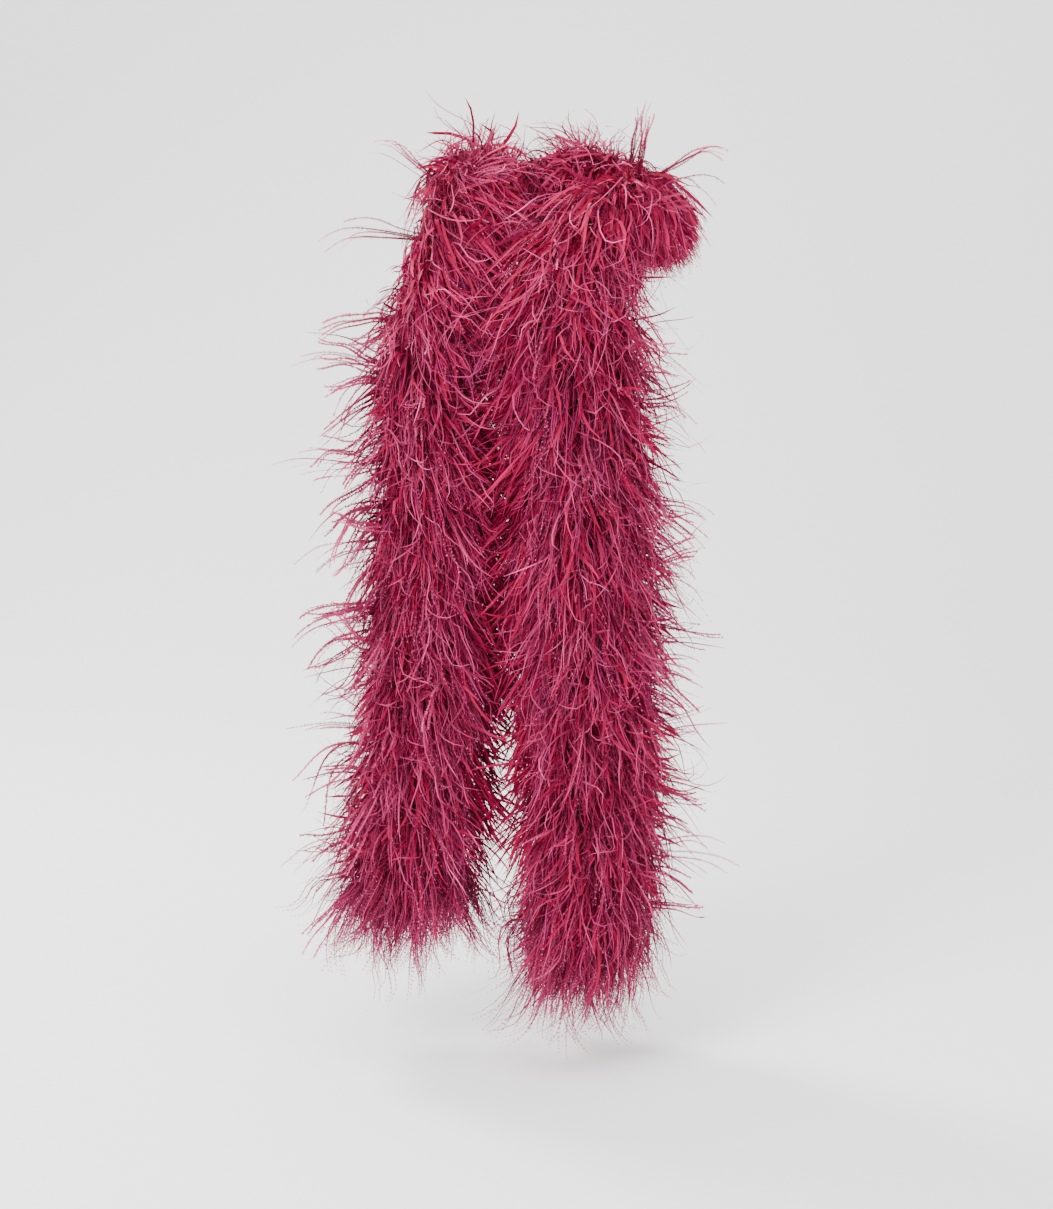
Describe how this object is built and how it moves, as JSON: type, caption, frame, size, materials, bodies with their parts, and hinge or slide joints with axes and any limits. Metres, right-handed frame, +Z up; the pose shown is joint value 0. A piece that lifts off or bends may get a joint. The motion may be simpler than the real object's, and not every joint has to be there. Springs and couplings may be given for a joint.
{
  "type": "feather boa",
  "caption": "Thick ostrich feather boa draped round a neck, both tails hanging in front, each tail bending at several places.",
  "frame": {"origin": "middle of the neck that wears it, level with the base of the neck", "axes": "+Z up along the hanging tails, +X towards the tail that crosses over the other, -Y the wearer's front"},
  "size_m": [0.5095, 0.4886, 1.0289],
  "materials": {
    "dyed_flue": "matte",
    "core_cord": "matte",
    "ply_string": "matte",
    "thread": "satin"
  },
  "bodies": {
    "neck": {"core_cord_neck": "core_cord", "ply_strings_neck": "ply_string", "collar_flues_left": "dyed_flue", "shoulder_flues_left": "dyed_flue", "nape_flues": "dyed_flue", "shoulder_flues_right": "dyed_flue", "collar_flues_right": "dyed_flue", "crossover_flues": "dyed_flue", "long_flues_neck": "dyed_flue"},
    "left_upper": {"core_cord_left_upper": "core_cord", "ply_strings_left_upper": "ply_string", "flue_ruffs_left_upper": "dyed_flue", "long_flues_left_upper": "dyed_flue"},
    "left_middle": {"core_cord_left_middle": "core_cord", "ply_strings_left_middle": "ply_string", "flue_ruffs_left_middle": "dyed_flue", "long_flues_left_middle": "dyed_flue"},
    "left_lower": {"core_cord_left_lower": "core_cord", "ply_strings_left_lower": "ply_string", "flue_ruffs_left_lower": "dyed_flue", "long_flues_left_lower": "dyed_flue", "end_tuft_left": "dyed_flue", "end_whipping_left": "thread", "end_knot_left": "thread", "end_flues_left": "dyed_flue"},
    "right_upper": {"core_cord_right_upper": "core_cord", "ply_strings_right_upper": "ply_string", "flue_ruffs_right_upper": "dyed_flue", "long_flues_right_upper": "dyed_flue"},
    "right_middle": {"core_cord_right_middle": "core_cord", "ply_strings_right_middle": "ply_string", "flue_ruffs_right_middle": "dyed_flue", "long_flues_right_middle": "dyed_flue"},
    "right_lower": {"core_cord_right_lower": "core_cord", "ply_strings_right_lower": "ply_string", "flue_ruffs_right_lower": "dyed_flue", "long_flues_right_lower": "dyed_flue", "end_tuft_right": "dyed_flue", "end_whipping_right": "thread", "end_knot_right": "thread", "end_flues_right": "dyed_flue"}
  },
  "joints": [
    {"name": "left_collar_swing", "type": "hinge", "parent": "neck", "child": "left_upper", "pos_m": [-0.1345, -0.11, -0.12], "axis": [-1, 0, 0], "range_deg": [0, 35]},
    {"name": "left_tail_sway", "type": "hinge", "parent": "left_upper", "child": "left_middle", "pos_m": [-0.135, -0.1255, -0.3025], "axis": [0, 1, 0], "range_deg": [0, 30]},
    {"name": "left_tail_curl", "type": "hinge", "parent": "left_middle", "child": "left_lower", "pos_m": [-0.137, -0.1315, -0.495], "axis": [-1, 0, 0], "range_deg": [0, 35]},
    {"name": "right_collar_swing", "type": "hinge", "parent": "neck", "child": "right_upper", "pos_m": [0.0182, -0.1486, -0.146], "axis": [-1, 0, 0], "range_deg": [0, 35]},
    {"name": "right_tail_sway", "type": "hinge", "parent": "right_upper", "child": "right_middle", "pos_m": [0.0255, -0.1585, -0.3325], "axis": [0, -1, 0], "range_deg": [0, 30]},
    {"name": "right_tail_curl", "type": "hinge", "parent": "right_middle", "child": "right_lower", "pos_m": [0.034, -0.163, -0.5265], "axis": [-1, 0, 0], "range_deg": [0, 35]}
  ]
}
